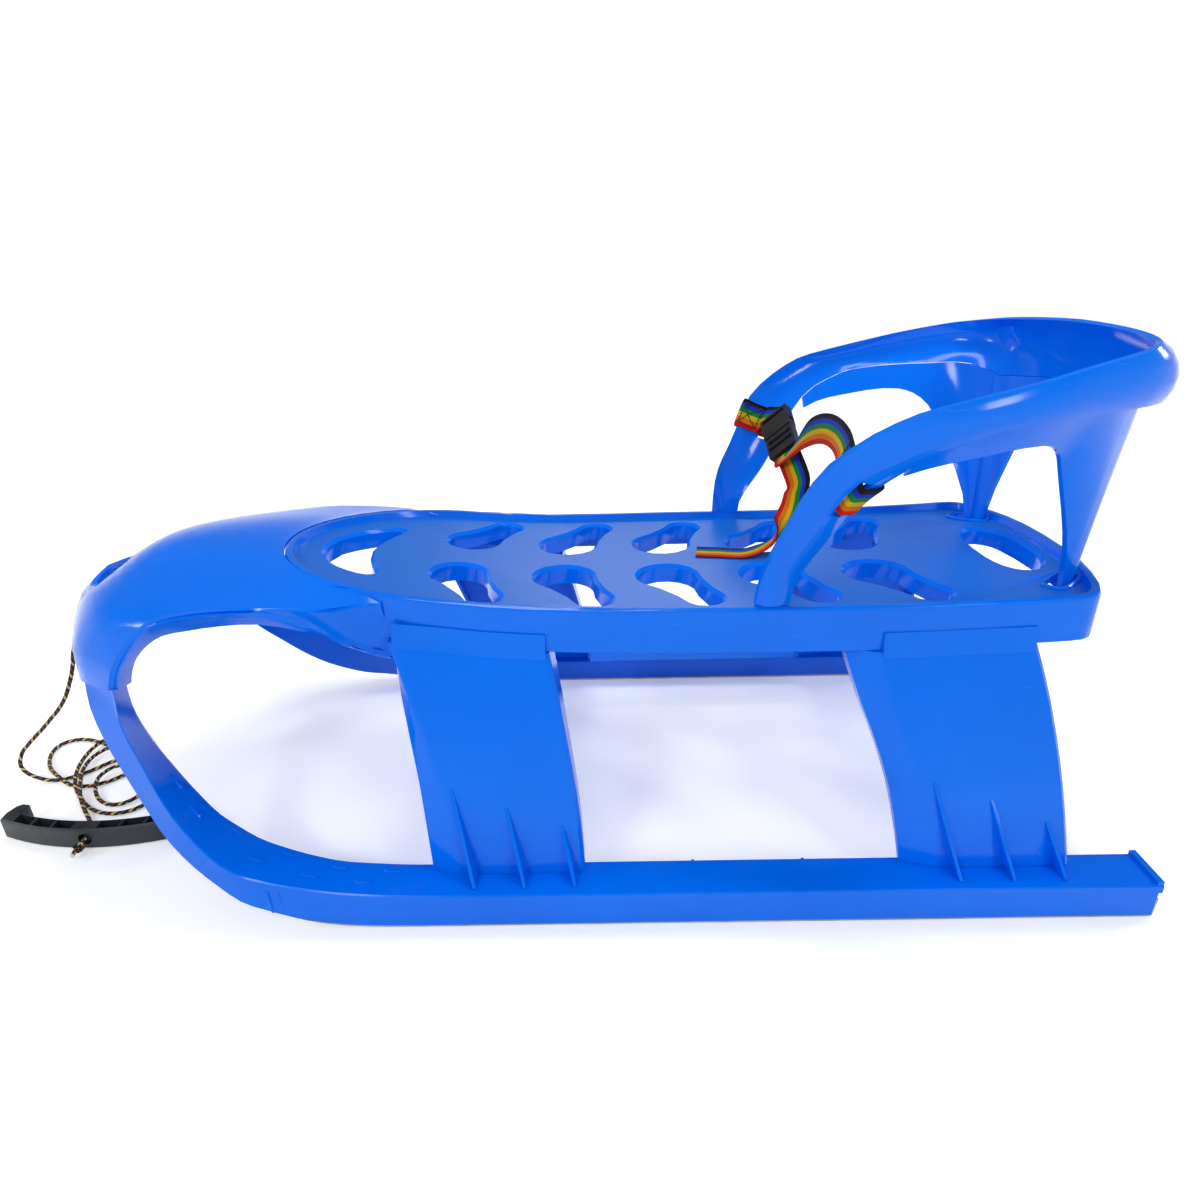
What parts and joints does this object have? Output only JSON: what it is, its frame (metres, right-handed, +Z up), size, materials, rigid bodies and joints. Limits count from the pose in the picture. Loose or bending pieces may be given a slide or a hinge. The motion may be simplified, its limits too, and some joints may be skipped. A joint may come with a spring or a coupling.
{
  "type": "child's pull sled with backrest",
  "caption": "Moulded child's pull sled with a perforated seat, two shod runners, a lift-out wrap-round backrest, a buckled belt, and a tow rope with a handle.",
  "frame": {"origin": "centre of the sled's footprint box on the surface it stands on, without the tow rope, handle and knot", "axes": "+X from the nose towards the backrest, +Y towards the left runner, +Z up"},
  "size_m": [1.0603, 0.424, 0.4388],
  "materials": {
    "plastic": "gloss",
    "metal": "brushed",
    "black": "satin",
    "web": "woven rainbow stripes",
    "rope": "braided"
  },
  "bodies": {
    "sled": {"seat_deck": "plastic", "nose_hood": "plastic", "runner_left": "plastic", "runner_right": "plastic", "metal_strip_left": "metal", "metal_strip_right": "metal", "leg_front_left": "plastic", "leg_front_right": "plastic", "leg_rear_left": "plastic", "leg_rear_right": "plastic", "tow_rope": "rope", "tow_handle": "black", "rope_knot": "rope"},
    "backrest": {"backrest_hoop": "plastic", "backrest_post_left": "plastic", "backrest_post_right": "plastic", "belt_loop_left": "web", "belt_strap_right": "web", "belt_tail": "web", "buckle_female": "black", "buckle_male": "black"},
    "prong_front": {"buckle_prong_front": "black"},
    "prong_rear": {"buckle_prong_rear": "black"}
  },
  "joints": [
    {"name": "backrest_lift", "type": "slide", "parent": "sled", "child": "backrest", "axis": [0, 0, 1], "range_m": [0, 0.06]},
    {"name": "prong_rear_squeeze", "type": "hinge", "parent": "backrest", "child": "prong_rear", "pos_m": [0.21136, 0.08918, 0.33748], "axis": [-0.7598, -0.3593, 0.5418], "range_deg": [0, 8], "stiffness_Nm_per_rad": 0.02},
    {"name": "prong_front_squeeze", "type": "hinge", "parent": "backrest", "child": "prong_front", "pos_m": [0.19967, 0.09583, 0.32551], "axis": [-0.7598, -0.3593, 0.5418], "range_deg": [-8, 0], "stiffness_Nm_per_rad": 0.02}
  ],
  "couplings": [
    {"joint": "prong_front_squeeze", "follows": "prong_rear_squeeze", "ratio": -1}
  ]
}
